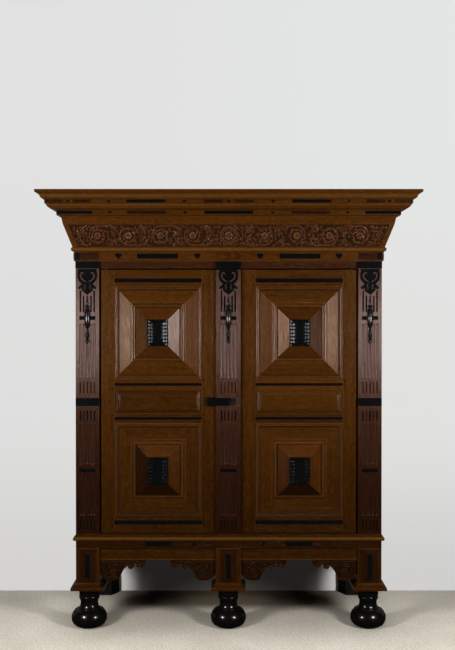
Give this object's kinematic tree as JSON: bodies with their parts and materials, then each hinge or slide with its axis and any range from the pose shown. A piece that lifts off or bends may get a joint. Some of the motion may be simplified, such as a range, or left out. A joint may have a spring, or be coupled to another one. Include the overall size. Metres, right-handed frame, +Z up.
{
  "type": "kas cupboard",
  "caption": "Two-door oak and ebony cupboard with fluted pilasters, raised pyramid panels, a carved flaring cornice and turned ball feet.",
  "frame": {"origin": "on the floor, under the middle of the whole box with its cornice", "axes": "+Z up, -Y towards the front with its doors, +X to the right of someone facing it"},
  "size_m": [1.804, 0.79, 2.1],
  "materials": {
    "oak": "satin",
    "red_oak": "satin",
    "ebony": "gloss",
    "black_turning": "gloss",
    "iron": "satin",
    "inner_oak": "matte",
    "red_inlay": "satin"
  },
  "bodies": {
    "carcase": {"base_pads": "oak", "base_posts": "oak", "base_frieze": "oak", "base_sides": "oak", "apron_rails": "oak", "apron_brackets": "oak", "waist_moulding": "oak", "front_posts": "oak", "rear_posts": "oak", "side_rails": "oak", "side_panels": "oak", "cornice_architrave": "oak", "cornice_frieze": "oak", "crown_moulding": "oak", "lintel": "red_oak", "pilaster_boards": "red_oak", "base_inlays": "ebony", "pilaster_caps": "ebony", "side_cartouches": "ebony", "side_pendants": "ebony", "side_inlays": "ebony", "cornice_black_inlays": "ebony", "foot_front_left": "black_turning", "foot_front_centre": "black_turning", "foot_front_right": "black_turning", "foot_rear_left": "inner_oak", "foot_rear_right": "inner_oak", "base_back_rail": "inner_oak", "bottom_boards": "inner_oak", "back_boards": "inner_oak", "shelf_lower": "inner_oak", "shelf_middle": "inner_oak", "shelf_upper": "inner_oak", "shelf_cleats": "inner_oak", "carcase_top": "inner_oak", "top_boards": "inner_oak", "cornice_red_inlays": "red_inlay"},
    "door_left": {"door_left_frame": "oak", "door_left_panels": "oak", "door_left_mouldings": "oak", "door_left_plaques": "ebony", "door_left_strips": "ebony", "door_left_pivots": "iron", "centre_pilaster": "red_oak", "centre_cartouche": "ebony", "centre_pendant": "ebony", "centre_inlays": "ebony", "escutcheon": "iron", "lock_case": "iron"},
    "keyhole_cover": {"keyhole_cover": "ebony"},
    "lock_bolt": {"lock_bolt": "iron"},
    "door_right": {"door_right_frame": "oak", "door_right_panels": "oak", "door_right_mouldings": "oak", "door_right_plaques": "ebony", "door_right_strips": "ebony", "door_right_irons": "iron"},
    "top_bolt": {"top_bolt": "iron"},
    "bottom_bolt": {"bottom_bolt": "iron"}
  },
  "joints": [
    {"name": "door_left", "type": "hinge", "parent": "carcase", "child": "door_left", "pos_m": [-0.596, -0.199, 0.463], "axis": [0, 0, -1], "range_deg": [0, 90]},
    {"name": "door_right", "type": "hinge", "parent": "carcase", "child": "door_right", "pos_m": [0.596, -0.199, 0.463], "axis": [0, 0, 1], "range_deg": [0, 90]},
    {"name": "keyhole_cover", "type": "slide", "parent": "door_left", "child": "keyhole_cover", "axis": [1, 0, 0], "range_m": [0, 0.05]},
    {"name": "lock_bolt", "type": "slide", "parent": "door_left", "child": "lock_bolt", "axis": [1, 0, 0], "range_m": [0, 0.015]},
    {"name": "top_bolt", "type": "slide", "parent": "door_right", "child": "top_bolt", "axis": [0, 0, 1], "range_m": [0, 0.02]},
    {"name": "bottom_bolt", "type": "slide", "parent": "door_right", "child": "bottom_bolt", "axis": [0, 0, -1], "range_m": [0, 0.012]}
  ]
}
